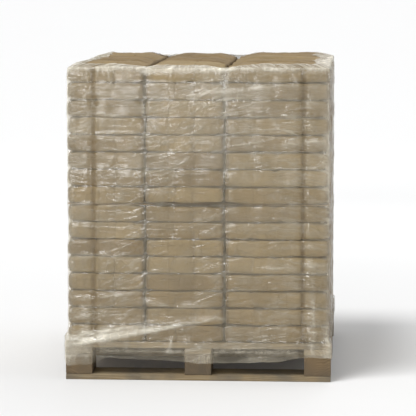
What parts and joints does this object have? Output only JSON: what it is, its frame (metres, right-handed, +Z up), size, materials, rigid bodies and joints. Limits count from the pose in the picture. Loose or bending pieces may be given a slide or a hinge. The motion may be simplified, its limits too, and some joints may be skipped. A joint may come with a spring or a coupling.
{
  "type": "pallet of sacks",
  "caption": "Flat kraft paper sacks laid in layers on a wooden block pallet and held by clear stretch film.",
  "frame": {"origin": "middle of the load's footprint, on the floor", "axes": "+Z up; the front, which is the narrow end, faces -Y; +X to the right seen from the front"},
  "size_m": [1.0052, 1.2052, 1.1892],
  "materials": {
    "pallet_board": "sawn, unplaned, greyed by handling",
    "pallet_block": "sawn, end grain dark",
    "kraft_paper": "matt, creased",
    "kraft_board": "matt",
    "stretch_film": "clear, hazy where it lies in several turns, wrinkled"
  },
  "bodies": {
    "root": {"block_1_1": "pallet_block", "block_1_2": "pallet_block", "block_1_3": "pallet_block", "block_2_1": "pallet_block", "block_2_2": "pallet_block", "block_2_3": "pallet_block", "block_3_1": "pallet_block", "block_3_2": "pallet_block", "block_3_3": "pallet_block", "bottom_board_1": "pallet_board", "bottom_board_2": "pallet_board", "bottom_board_3": "pallet_board", "deck_board_1": "pallet_board", "deck_board_2": "pallet_board", "deck_board_3": "pallet_board", "deck_board_4": "pallet_board", "deck_board_5": "pallet_board", "deck_board_6": "pallet_board", "deck_board_7": "pallet_board", "layer_pad": "kraft_board", "sack_layer_01": "kraft_paper", "sack_layer_02": "kraft_paper", "sack_layer_03": "kraft_paper", "sack_layer_04": "kraft_paper", "sack_layer_05": "kraft_paper", "sack_layer_06": "kraft_paper", "sack_layer_07": "kraft_paper", "sack_layer_08": "kraft_paper", "sack_layer_09": "kraft_paper", "sack_layer_10": "kraft_paper", "sack_layer_11": "kraft_paper", "sack_layer_12": "kraft_paper", "sack_layer_13": "kraft_paper", "sack_layer_14": "kraft_paper", "sack_layer_15": "kraft_paper", "sack_layer_16": "kraft_paper", "stretch_wrap": "stretch_film", "stringer_1": "pallet_board", "stringer_2": "pallet_board", "stringer_3": "pallet_board"}
  },
  "joints": []
}
